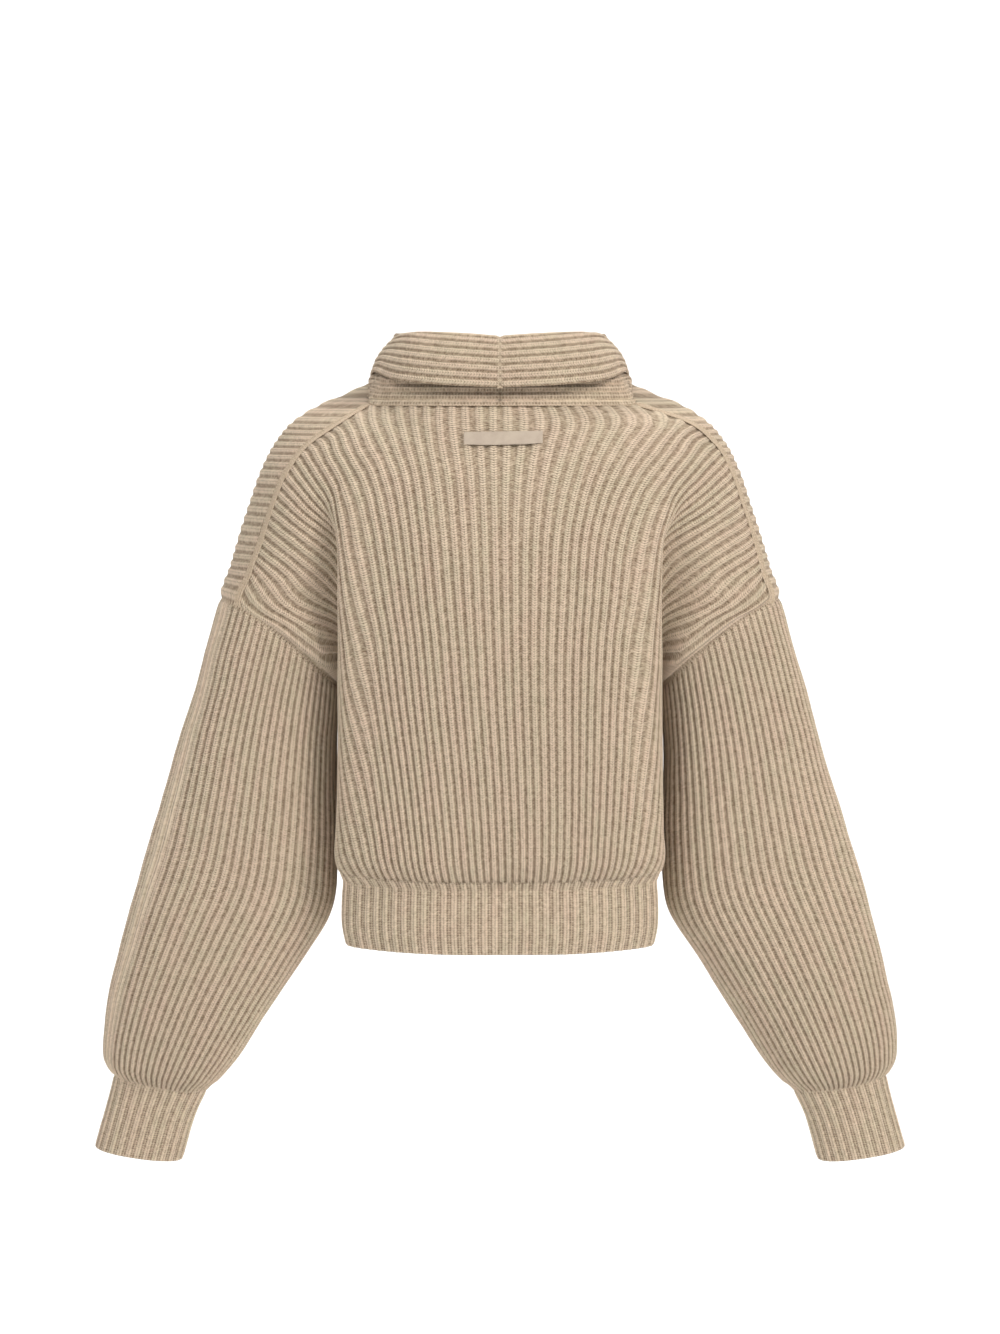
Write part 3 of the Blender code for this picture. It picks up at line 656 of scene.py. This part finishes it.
def knit_material(name):
    """Wool rib: slanting stitches on the ribs, ladders in the valleys, tints that run along them. The valleys, stitch
    gaps, holes, purl dots and seam grooves are darkened in the colour as painted shade.
    """
    material, t, place = new_material(name)
    rib, course, _ = t.add("ShaderNodeSeparateXYZ", {0: t.add("ShaderNodeUVMap", uv_map="knit")}).outputs
    opened, seam, banded = (t.add("ShaderNodeAttribute", attribute_name=value).outputs["Fac"]
                            for value in ("opened", "seam", "banded"))

    def spots(across, down, detail=2.0):
        """Noise in the knit's own rows: how fine it is across the ribs and down the courses."""
        return t.noise(t.flat_point(t.times(rib, across), t.times(course, down)), 1.0, detail)

    row = t.more(course, t.about_zero(t.noise(place, 150.0)), 0.7)
    off = t.from_middle(rib)
    plain = t.more(1.0, banded, -0.45)
    valley = t.between(off, t.between(opened, 0.0, 1.0, 0.38, 0.34), t.between(opened, 0.0, 1.0, 0.80, 0.76))
    valley = t.times(valley, plain)
    # stitches: two slanting legs to every course, on both sides of the middle of the rib; the gaps between the legs
    # are sunk in the relief and painted dark as shade
    lean = t.more(row, off, -0.9)
    legs = t.times(t.between(t.from_middle(lean), 0.45, 1.0), t.between(off, 0.50, 0.85, 1.0, 0.0), plain)
    stitch = t.flat_point(t.math("FLOOR", t.times(rib, 2.0)), t.math("FLOOR", lean))
    single = t.add("ShaderNodeTexWhiteNoise", {"Vector": stitch}, noise_dimensions="2D").outputs["Value"]
    rung = t.more(0.5, t.math("COSINE", t.times(row, 2.0 * math.pi)), 0.5)
    grain = spots(3.7, 1.3)
    # ladder and holes: gaps in the knit, sunk in the relief and painted dark as shade
    ladder = t.times(valley, rung, t.between(grain, 0.25, 0.7))
    pierced = t.math("MAXIMUM", rung, t.times(banded, 0.8))
    holes = t.times(t.between(off, 0.0, 0.22, 1.0, 0.0), t.more(t.times(grain, 0.5), pierced, 0.6))
    uneven = t.times(legs, t.between(grain, 0.2, 0.8, 0.4, 1.2))
    clump = t.times(valley, t.between(spots(2.0, 0.8, 1.0), 0.30, 0.70, -0.5, 0.5))
    fibre = t.noise(place, 1700.0)
    # purl stitches: rows of dots beside the flatter ribs, sunk in the relief and painted dark as shade
    beside = t.between(t.math("ABSOLUTE", t.math("SUBTRACT", off, 0.70)), 0.08, 0.26, 1.0, 0.0)
    half_plain = t.times(banded, t.math("SUBTRACT", 2.0, banded))
    purl = t.times(beside, half_plain, t.more(0.25, rung, 0.75))
    # colour: wool tints and random tone, and painted shade mixed in towards the dark wool
    wool = t.mix("RGBA", t.between(spots(0.42, 0.035), 0.38, 0.62), PINK_WOOL, GREEN_WOOL)
    wool = t.mix("RGBA", t.between(spots(1.3, 0.16), 0.32, 0.68, 0.15, 0.85), wool, LIGHT_WOOL)
    # Painted shade in the valleys, lighter where the knit is pulled open.
    shade_and_tone = t.times(valley, t.between(opened, 0.0, 1.0, 0.61, 0.49))
    # Added to it: painted shade in the ladders, holes, stitch gaps, seam grooves and purl gaps; a little painted shade
    # over the flatter knit, keeping the low hem band darker; random tone from single, grain and fibre; clump varies
    # the valleys' painted shade.
    for amount, factor in ((ladder, 0.40), (holes, 0.44), (uneven, 0.46), (seam, 0.42), (clump, 0.12), (purl, 0.50),
                           (half_plain, 0.05), (t.about_zero(single), 0.27), (t.about_zero(grain), 0.42),
                           (t.about_zero(fibre), 0.30)):
        shade_and_tone = t.more(shade_and_tone, amount, factor)
    color = t.mix("RGBA", shade_and_tone, wool, SHADE_AND_DARK_TONE_WOOL)
    # relief
    relief = t.times(legs, -1.0)
    for amount, height in ((holes, -1.0), (purl, -1.0), (ladder, -0.9), (fibre, 0.5)):
        relief = t.more(relief, amount, height)
    end_material(t, color, relief, 0.9, 0.0010, {
        "Roughness": 0.95, "Specular IOR Level": 0.2, "Sheen Weight": 0.2, "Sheen Roughness": 0.6,
        "Sheen Tint": (1.0, 0.93, 0.82, 1.0)})
    return material


def yarn_material():
    """Plain wool yarn for the seam chains."""
    material, t, place = new_material("seam_yarn")
    fibre = t.noise(place, 1500.0, 3.0)
    color = t.mix("RGBA", t.between(fibre, 0.3, 0.7), *YARN_COLORS)
    end_material(t, color, fibre, 0.6, 0.0003, {"Roughness": 0.95, "Sheen Weight": 0.25, "Sheen Roughness": 0.5})
    return material


def tape_material():
    """Woven label tape: fine crossing threads, no lettering."""
    material, t, place = new_material("label_weave")
    across, _, up = t.add("ShaderNodeSeparateXYZ", {0: place}).outputs
    weave = t.times(*(t.math("SINE", t.times(way, 9000.0)) for way in (across, up)))
    color = t.mix("RGBA", t.between(t.noise(place, 120.0, 3.0), 0.3, 0.7), *TAPE_COLORS)
    color = t.mix("RGBA", t.between(weave, -1.0, 1.0, 0.0, 0.12), color, TAPE_THREAD)
    end_material(t, color, weave, 0.5, 0.0002, {"Roughness": 0.7, "Sheen Weight": 0.1})
    return material


# ---- the sheets
RAISED = rib_tree()
CHAIN = chain_tree()
YARN = yarn_material()


def knit_piece(node, patches, wrap=False, rib_height=RIB_HEIGHT, softness=2.0):
    """Lays a knitted sheet over a node: ribs raised, a wall behind them."""
    piece = add_object(node + "_knit", knit_mesh(node + "_knit", patches, wrap))
    add_nodes(piece, "ribs", RAISED, {"Rib height": rib_height * MM, "Softness": softness * MM, "Unevenness": 0.5 * MM,
                                      "Seam depth": 1.2 * MM, "Knit": knit_material(node + "_wool")})
    add_wall(piece, WALL, -1.0)
    return made_plain(piece)


TABLES = {side: surface_tables(side) for side in ("left", "right")}
RIBS, EDGE_RIBS = rib_table()


def whole(half, mirror):
    """A table from the wearer's right edge to the left one, from the two halves."""
    right, left = half
    return np.concatenate([right[:, :0:-1] * mirror, left], axis=1)


BACK, FRONT = (whole([TABLES[side][k] for side in ("right", "left")], MIRROR) for k in (0, 1))
DRIFT = at_heights(*zip(*DRIFT_LEVELS), LEVELS)
FRONT_RIBS = whole([RIBS, RIBS], -1.0)
BACK_RIBS = FRONT_RIBS + (DRIFT / RIBS_PER_HALF)[:, None] * (1.0 - FRONT_RIBS ** 4)


def trunk_panel(surface, ribs_at, share, z):
    """Points of a panel at the given heights, a column for each share of its ribs."""
    rows = level_row(z)
    fine = np.arange(ribs_at.shape[1], dtype=float)
    place = np.array([np.interp(share, shares, fine) for shares in ribs_at])
    return bilinear(surface, rows, bilinear(place, rows, np.arange(len(share))))


def seam_height(share):
    """Height at which each rib meets the shoulder seam."""
    upper = int(level_row(ARMHOLE_TOP_Z)) + 1
    return np.interp(np.abs(share), EDGE_RIBS[:upper], LEVELS[:upper])


def top_of(share):
    """Height of the shoulder seam at each rib, and of the neck seam inside it."""
    return np.minimum(seam_height(share), 1.0)


def near_ends(down, top, bottom=0.0):
    """1 at a sheet's first and last rows, gone within the given distances; 0 leaves an end out."""
    first = 1.0 - ease(down / top) if top else 0.0
    last = 1.0 - ease((down[-1:] - down) / bottom) if bottom else 0.0
    return np.maximum(first, last)


def band_numbers(row):
    """The hem band's rib numbers at a row of points from one side seam to the other."""
    run = lengths(row)
    return BAND_RIBS * run / run[-1]


def trunk_patches(surface, ribs_at, ribs, top, count, raised_top):
    """A trunk panel: the ribbed body, and below it a strip already knitted like the hem band."""
    share = ribs / RIBS_PER_HALF
    points = trunk_panel(surface, ribs_at, share, top - row_shares(top - RIBS_END_Z, count))
    down = lengths(points)
    rest = down[-1:] - down
    ended = (1.0 - END_SWELL) * ease(1.0 - rest / ENDS_OVER)
    swell = np.where(raised_top, 1.0, ease(down / 5.0)) * (1.0 - ended)
    opened = np.maximum(stretch(points, ribs), ended)
    # The seam value dips the sheet and paints it dark as shade: along the shoulder seam, and in dashes where every
    # second rib ends above the hem.
    ends_here = (np.floor(ribs).astype(int) % 2 != 0)[None, :]
    rib_end_dips_and_shade = np.where(ends_here, 1.1, 0.55) * ease(1.0 - rest / 2.8)
    seam = np.maximum(np.where(raised_top, 0.0, near_ends(down, 3.4)), rib_end_dips_and_shade)
    upper = knit_patch(points, ribs, (rest + RIBS_END_Z - HEM_BOTTOM_Z) / COURSE, swell, opened, seam)
    strip_z = np.linspace(RIBS_END_Z, HEM_JOIN_Z, 7)[:, None]
    strip = trunk_panel(surface, ribs_at, share, strip_z)
    numbers = band_numbers(strip[-1]) * np.sign(ribs[-1] - ribs[0])
    rise = END_SWELL + (BAND_SWELL - END_SWELL) * ease((RIBS_END_Z - strip_z) / ENDS_OVER)
    beside = ease(RIBS_PER_HALF - np.abs(ribs))
    lower = knit_patch(strip, numbers, (strip_z - HEM_BOTTOM_Z) / COURSE, rise * beside, opened=1.0, banded=1.0)
    return [upper, lower]


def build_back():
    ribs = rib_numbers(2 * RIBS_PER_HALF, -RIBS_PER_HALF)[::-1]
    return knit_piece("back", trunk_patches(BACK, BACK_RIBS, ribs, top_of(ribs / RIBS_PER_HALF),
                                            count=78, raised_top=False))


def neckline_of_ribs():
    """Rib of the front that meets the neckline at each height above the V, and those heights."""
    z = np.arange(1.0, V_POINT_Z - 0.5, -1.0)
    front_x = TABLES["left"][1][..., 0]
    rib = []
    for x, level_at in zip(at_heights(*zip(*NECKLINE_LEVELS), z), level_row(z).astype(int)):
        rib.append(np.interp(x, np.maximum.accumulate(front_x[level_at] + RISING), RIBS[level_at]))
    rib[-1] = 0.0
    return np.minimum.accumulate(rib), z


NECK_RIBS, NECK_Z = neckline_of_ribs()


def shoulder_strip(side, ribs):
    """Where the front turns over the shoulder: rows from the seam to the front's corner."""
    z = seam_height(ribs / RIBS_PER_HALF)
    across = np.linspace(2 * FINE, 0, 15)[:, None]
    points = bilinear(TABLES[side][2], level_row(z), across) * (1.0 if side == "left" else MIRROR)
    down = lengths(points)
    rest = down[-1:] - down
    swell = 0.55 * ease(down / 5.0) + 0.45 * ease(1.0 - rest / 9.0)
    # Its seam edge dips and is painted dark as shade.
    return knit_patch(points, ribs, rest / COURSE + CORNER_COURSE, swell, opened=0.3, seam=near_ends(down, 2.4))


def build_front():
    ribs = rib_numbers(2 * RIBS_PER_HALF, -RIBS_PER_HALF)
    share = ribs / RIBS_PER_HALF
    from_seam = np.abs(share) >= NECK_RIBS[0]
    top = np.where(from_seam, top_of(share), np.interp(np.abs(share), NECK_RIBS[::-1], NECK_Z[::-1]))
    patches = trunk_patches(FRONT, FRONT_RIBS, ribs, top, count=74, raised_top=from_seam[None, :])
    over = np.abs(share) >= EDGE_RIBS[0]
    patches.append(shoulder_strip("left", ribs[over & (ribs > 0)]))
    patches.append(shoulder_strip("right", ribs[over & (ribs < 0)]))
    return knit_piece("front", patches)


# A tube's rings, rows of points and ribs; the distance from its top at which the ribs start to
# rise, and over how much; how far its knit is pulled open, its softness and its ribs' height.
TUBES = {
    "sleeve": ((ARMHOLE,) + SLEEVE_RINGS, 84, SLEEVE_RIBS, 3.5, 4.0, 0.15, 5.0, RIB_HEIGHT),
    "cuff": (CUFF_RINGS, 26, CUFF_RIBS, 0.0, 4.0, 1.0, 1.2, 1.4),
}


def build_tube(kind, side):
    """A sleeve or cuff: ribs at even distances round every ring."""
    rings, rows, ribs, rise_at, rise_over, opened, softness, height = TUBES[kind]
    numbers = rib_numbers(ribs)
    angles = np.linspace(0.0, 2.0 * math.pi, 721)
    many_rings = curve(np.arange(len(rings)), rings, np.linspace(0.0, len(rings) - 1.0, 200))
    dense = np.array([along(ring_point(ring, angles), numbers / ribs) for ring in many_rings])
    length = lengths(dense).mean(axis=1)
    index = np.interp(row_shares(length[-1:], rows), length, np.arange(len(length)))
    points = bilinear(dense, index, np.arange(len(numbers), dtype=float))
    down = lengths(points)
    rest = down[-1:] - down
    swell = ease((down - rise_at) / rise_over) * ease(rest / 5.0 + 0.25)
    if kind == "cuff":                    # its top reaches into the sleeve's end
        points[0] -= unit(points[1] - points[0]) * 2.0
        swell[0] = 0.0
        seam, banded = 0.0, 1.0
    else:
        aside = numbers - PLAIN_COLUMN
        there = 1.0 if side == "left" else 0.0
        column = there * np.exp(-(aside / 1.5) ** 4)
        swell = swell * (1.0 - 0.85 * column)
        # Painted shade with a dip in the armhole's groove, and a thin dip painted dark as shade down the plain column.
        seam = np.maximum(near_ends(down, 2.6) * 1.2, there * np.exp(-(aside / 0.13) ** 2))
        banded = 2.0 * column
    if side == "left":
        patch = knit_patch(points, numbers, rest / COURSE, swell, opened, seam, banded)
    else:
        patch = mirrored(knit_patch(points, -numbers, rest / COURSE, swell, opened, seam, banded))
    return knit_piece(kind + "_" + side, [patch], wrap=True, rib_height=height, softness=softness)


def build_band():
    """The hem band: a ring of flatter ribs, wider apart than the body's."""
    numbers = rib_numbers(BAND_RIBS)
    back, front = (along(surface[-1], numbers / BAND_RIBS) for surface in (BACK, FRONT))
    ring = np.vstack([back[:0:-1], front])
    numbers = np.concatenate([-numbers[:0:-1], numbers])
    depth = row_shares([HEM_JOIN_Z - HEM_BOTTOM_Z], 20)
    points = ring[None] * at_heights(*zip(*BAND_LEVELS), HEM_JOIN_Z - depth[:, 0])[:, None, None]
    points[..., 2] = HEM_JOIN_Z + np.where(depth == 0.0, 1.5, 0.0) - depth      # its top is tucked in
    rest = depth[-1:] - depth
    swell = BAND_SWELL * (1.0 - 0.5 * ease(1.0 - rest / 3.0))
    patch = knit_patch(points, numbers, rest / COURSE, swell, opened=1.0, banded=1.0)
    return knit_piece("hem_band", [patch], wrap=True, softness=1.5)


def neck_seam(side):
    """The seam the collar is sewn to: along the back's top, over the shoulder, down to the V."""
    back, front, strip = TABLES[side]
    back_top = back[int(level_row(1.0))]
    rise = [strip[int(level_row(z)), -1] for z in (4.0, 8.0, 12.0, 16.0)]
    over = strip[0, ::-2]
    fall = []
    z = np.linspace(16.0, V_POINT_Z + 1.0, 36)
    for height, x in zip(z, at_heights(*zip(*NECKLINE_LEVELS), z)):
        row = front[int(round(float(level_row(height))))]
        fall.append([x, np.interp(x, np.maximum.accumulate(row[:, 0]), row[:, 1]), height])
    return np.vstack([back_top, rise, over, fall])


def collar_grid(side):
    """Half the collar: rows along it, columns from the neck seam over the fold to its edge."""
    at = np.linspace(0.0, 1.0, 96)
    seam = smoothed(along(neck_seam(side), at), 2)
    knots, *shapes = zip(*COLLAR_SECTIONS)
    numbers = rib_numbers(COLLAR_RIBS)
    rows = []
    for seam_point, fold, edge, radius in zip(seam, *(curve(knots, shape, at) for shape in shapes)):
        down = unit(seam_point + edge - 2.0 * fold)
        across = edge - seam_point
        across = unit(across - np.dot(across, down) * down)
        inner = fold + (down - across) * radius
        outer = fold + (down + across) * radius
        bulge = blend(outer, edge, 0.5) + across * radius * 0.6
        stations = [seam_point, blend(seam_point, inner, 0.5), inner, fold, outer, bulge, edge]
        rows.append(along(section(stations, (8,) * 6), numbers / COLLAR_RIBS))
    points = np.array(rows)
    points = blend(points, smoothed(points, 10), ease(numbers / 4.0)[None, :, None])
    points[:, :, 0] = np.maximum(points[:, :, 0], 0.0)
    foot = points[:, :3]
    foot[..., 2] -= FOOT_TUCK * (1.0 - ease(numbers[:3])) * ease((foot[..., 1] + 18.0) / 10.0)
    return points


def build_collar(side):
    """Half the collar, whose ribs run along it, round the neck."""
    points, numbers = collar_grid(side), rib_numbers(COLLAR_RIBS)
    run = lengths(points[:, 60])[:, None]
    swell = ease(0.35 + run / 4.0) * ease(0.3 + (run[-1] - run) / 6.0)
    # ribs of the stand run level into the seam where it climbs over the shoulder
    climb = np.clip((points[:, :1, 2] - 0.5) / 7.0, 0.0, 2.8)
    numbers = numbers + climb * np.maximum(1.0 - numbers / 6.0, 0.0)
    climb = np.minimum(climb, 1.0)
    # The stand gets flatter ribs and paler valleys: partly its real flatter rib, partly painted light that lifts it
    # out of the shade under the fold.
    stand = 1.0 - ease((numbers - 3.0) / 2.0)
    # The collar's ends dip and are painted dark as shade, less where the seam climbs.
    seam_dip_and_shade = near_ends(run, 2.0, 1.5) * (0.6 - 0.45 * climb)
    patch = knit_patch(points, numbers, run / COURSE, swell, 0.1 + 0.9 * stand, seam_dip_and_shade, 1.4 * stand * (1.0 - 0.6 * climb))
    return knit_piece("collar_" + side, [patch if side == "left" else mirrored(patch)], rib_height=1.8, softness=1.2)


# The tape's middle, its size, how far its lower edge sags, how far it leans, its distance from the panel.
TAPE_X, TAPE_Z, TAPE_WIDTH, TAPE_HEIGHT, TAPE_SAG, TAPE_LEAN, TAPE_OUT = -3.0, -29.0, 71.0, 11.0, 0.9, 0.6, 1.9


def build_label():
    """A small blank tape, bowed at its lower edge, laid on the back's ribs."""
    table = TABLES["left"][0]
    points = []
    for down in np.linspace(0.0, 1.0, 7):
        for x in np.linspace(TAPE_X + TAPE_WIDTH / 2, TAPE_X - TAPE_WIDTH / 2, 31):
            side = (x - TAPE_X) / (TAPE_WIDTH / 2)
            z = TAPE_Z + TAPE_HEIGHT * (0.5 - down) - TAPE_SAG * (1.0 - side * side) * down - TAPE_LEAN * side
            row = table[int(round(float(level_row(z))))]
            points.append([x, np.interp(abs(x), row[:, 0], row[:, 1]) + TAPE_OUT, z])
    patch = knit_patch(np.array(points).reshape(7, 31, 3), 0.0, 0.0, 0.0, 0.0)
    tape = add_object("label_tape_weave", knit_mesh("label_tape_weave", [patch]))
    add_wall(tape, 0.7, 1.0)
    round_edge = tape.modifiers.new("edge", "BEVEL")
    round_edge.width = 0.25 * MM
    round_edge.segments = 2
    made_plain(tape).data.materials.append(tape_material())
    return tape


# Stitch chains by seam: the sheet that carries them, the pitch, a link's length and width, the
# yarn's radius, and for each row how far it lies aside and how far its links are turned.
BRAID = ((1.5, 0.6), (-1.5, -0.6))
PLAIT = ((1.0, 0.5), (-1.0, -0.5))
CHAINS = {
    "shoulder": ("back", 3.0, 4.6, 1.9, 0.62, BRAID),
    "armhole": ("sleeve", 3.2, 3.6, 1.2, 0.5, ((0.0, math.pi / 2),)),
    "neck": ("collar", 3.0, 4.2, 1.8, 0.62, BRAID),
    "throat": ("collar", 3.0, 4.2, 1.8, 0.62, BRAID),
    "collar": ("collar", 2.2, 3.0, 1.4, 0.55, PLAIT),
    "stand": ("collar", 2.2, 3.0, 1.4, 0.55, PLAIT),
}
CHAINS_ON = {}            # the finished chains by the sheet that carries them


def stitch_chain(kind, side, path, out):
    """Links along a path of points with outward directions, in rows set aside from it and turned."""
    sheet, pitch, length, width, yarn, rows = CHAINS[kind]
    run = lengths(path)
    at = np.arange(pitch / 2, run[-1], pitch)
    points, facing = (np.stack([np.interp(at, run, a[:, k]) for k in range(3)], axis=1) for a in (path, out))
    facing, way = unit(facing), unit(np.gradient(points, axis=0))
    aside = unit(np.cross(facing, way))
    places = np.vstack([points + aside * offset for offset, _ in rows])
    ways = np.vstack([way * math.cos(turn) + aside * math.sin(turn) for _, turn in rows])
    name = kind + "_seam_" + side
    mesh = bpy.data.meshes.new(name)
    mesh.from_pydata((places * MM).tolist(), [], [])
    for key, values in (("way", ways), ("out", np.vstack([facing] * len(rows)))):
        layer = mesh.attributes.new(key, "FLOAT_VECTOR", "POINT")
        layer.data.foreach_set("vector", values.astype(np.float32).ravel())
    piece = add_object(name, mesh)
    add_nodes(piece, "links", CHAIN, {"Link length": length * MM, "Link width": width * MM, "Yarn": yarn * MM,
                                      "Knit": YARN})
    made_plain(piece)
    sheet = sheet if sheet == "back" else sheet + "_" + side
    CHAINS_ON.setdefault(sheet, []).append(piece)
    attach(piece, "root")


def build_seams():
    """The stitch chains along every seam that shows."""
    for side in ("left", "right"):
        flip = np.ones(3) if side == "left" else MIRROR
        back = TABLES[side][0]
        rows = [int(level_row(z)) for z in np.arange(0.0, ARMHOLE_TOP_Z - 1, -2.0)]
        seam = back[rows, -1]
        out = unit(np.cross(TABLES[side][2][rows, -5] - back[rows, -5], np.gradient(seam, axis=0)))
        out *= np.sign((out * (seam - np.array([90.0, 0.0, -120.0]))).sum(axis=1, keepdims=True))
        stitch_chain("shoulder", side, (seam + out * 0.7) * flip, out * flip)
        ring = ring_point(ARMHOLE, np.linspace(0.0, 2.0 * math.pi, 241))
        out = unit((ring - ring.mean(axis=0)) * np.array([1.0, 1.0, 0.3])) + np.array([0.15, 0.0, 0.1])
        stitch_chain("armhole", side, (ring - unit(out) * 0.7) * flip, out * flip)
        seam = along(neck_seam(side), np.linspace(0.0, 1.0, 160))
        out = unit(seam - np.array([0.0, -10.0, -60.0]))
        for kind, kept in (("neck", (seam[:, 1] > 0.0) & (seam[:, 2] < 2.5)), ("throat", seam[:, 1] < -20.0)):
            stitch_chain(kind, side, (seam + out * 1.3)[kept] * flip, out[kept] * flip)
    middle = collar_grid("left")[0]
    out = unit(np.cross(np.gradient(middle, axis=0), (1.0, 0.0, 0.0)))
    stitch_chain("collar", "left", middle + out * 0.9, out)
    stitch_chain("stand", "left", (middle - out * (WALL + 0.6))[:34], -out[:34])


PIECES = {"back": build_back(), "front": build_front(), "hem_band": build_band()}
for side in ("left", "right"):
    PIECES["sleeve_" + side] = build_tube("sleeve", side)
    PIECES["cuff_" + side] = build_tube("cuff", side)
    PIECES["collar_" + side] = build_collar(side)
PIECES["label_tape"] = build_label()
build_seams()

# Each sheet hangs from the root, and the model's own part is hidden.
for node, piece in PIECES.items():
    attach(piece, "root")
    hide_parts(node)

# ---- the studio
FLOOR_Z = -1.2
SWEEP_Y = -1.6            # where the floor starts to sweep up
SWEEP = 1.6               # radius of the sweep
FLOOR_REACH = 4.5         # towards the camera, and the backdrop's top
HALF_WIDTH = 6.0
PAPER = (0.93, 0.93, 0.93, 1.0)


def build_studio():
    """A pale floor that sweeps up into a backdrop behind the garment."""
    profile = [(FLOOR_REACH, FLOOR_Z), (SWEEP_Y, FLOOR_Z)]
    for a in np.linspace(0.0, math.pi / 2, 13)[1:]:
        profile.append((SWEEP_Y - SWEEP * math.sin(a), FLOOR_Z + SWEEP * (1.0 - math.cos(a))))
    profile.append((SWEEP_Y - SWEEP, FLOOR_REACH))
    verts = [(x, y, z) for y, z in profile for x in (-HALF_WIDTH, HALF_WIDTH)]
    faces = [(2 * k, 2 * k + 1, 2 * k + 3, 2 * k + 2) for k in range(len(profile) - 1)]
    mesh = bpy.data.meshes.new("studio_floor")
    mesh.from_pydata(verts, [], faces)
    mesh.shade_smooth()
    floor = add_object("studio_floor", mesh)
    paper = bpy.data.materials.new("studio_paper")
    paper.use_nodes = True
    shader = paper.node_tree.nodes["Principled BSDF"]
    shader.inputs["Base Color"].default_value = PAPER
    shader.inputs["Roughness"].default_value = 0.9
    floor.data.materials.append(paper)


def look_along(direction):
    return Vector(direction).to_track_quat("-Z", "Y").to_euler()


def area_light(name, place, target, size, power, color=(1.0, 1.0, 1.0)):
    light = bpy.data.lights.new(name, "AREA")
    light.shape = "DISK"
    light.size = size
    light.energy = power
    light.color = color
    lamp = add_object(name, light)
    lamp.location = place
    lamp.rotation_euler = look_along(Vector(target) - Vector(place))


build_studio()
area_light("key_light", (-2.0, 2.0, 1.8), (0.0, 0.0, -0.15), 1.5, 78.0, (1.0, 0.985, 0.96))
area_light("fill_light", (1.8, 2.0, 2.1), (0.0, 0.0, -0.05), 2.2, 40.0, (0.97, 0.985, 1.0))
area_light("front_light", (0.6, -2.4, 1.8), (0.0, 0.0, -0.2), 2.0, 30.0)
area_light("backdrop_light", (0.0, -1.2, 3.2), (0.0, -3.0, 0.2), 2.5, 60.0)
world = bpy.data.worlds.new("studio_light")
bpy.context.scene.world = world
world.use_nodes = True
background = world.node_tree.nodes["Background"]
background.inputs["Color"].default_value = (1.0, 1.0, 1.0, 1.0)
background.inputs["Strength"].default_value = 0.54

PHOTO_HEIGHT = 1334.0     # pixels
FOCAL_PIXELS = 2565.0
SENSOR_HEIGHT = 24.0
TILT = math.radians(6.32)
camera_data = bpy.data.cameras.new("camera")
camera_data.sensor_fit = "VERTICAL"
camera_data.sensor_height = SENSOR_HEIGHT
camera_data.lens = SENSOR_HEIGHT * FOCAL_PIXELS / PHOTO_HEIGHT
camera = add_object("camera", camera_data)
camera.location = (0.0, 2.40, 0.02)
camera.rotation_euler = look_along((0.0, -math.cos(TILT), -math.sin(TILT)))
bpy.context.scene.camera = camera
bpy.context.scene.view_settings.view_transform = "Standard"
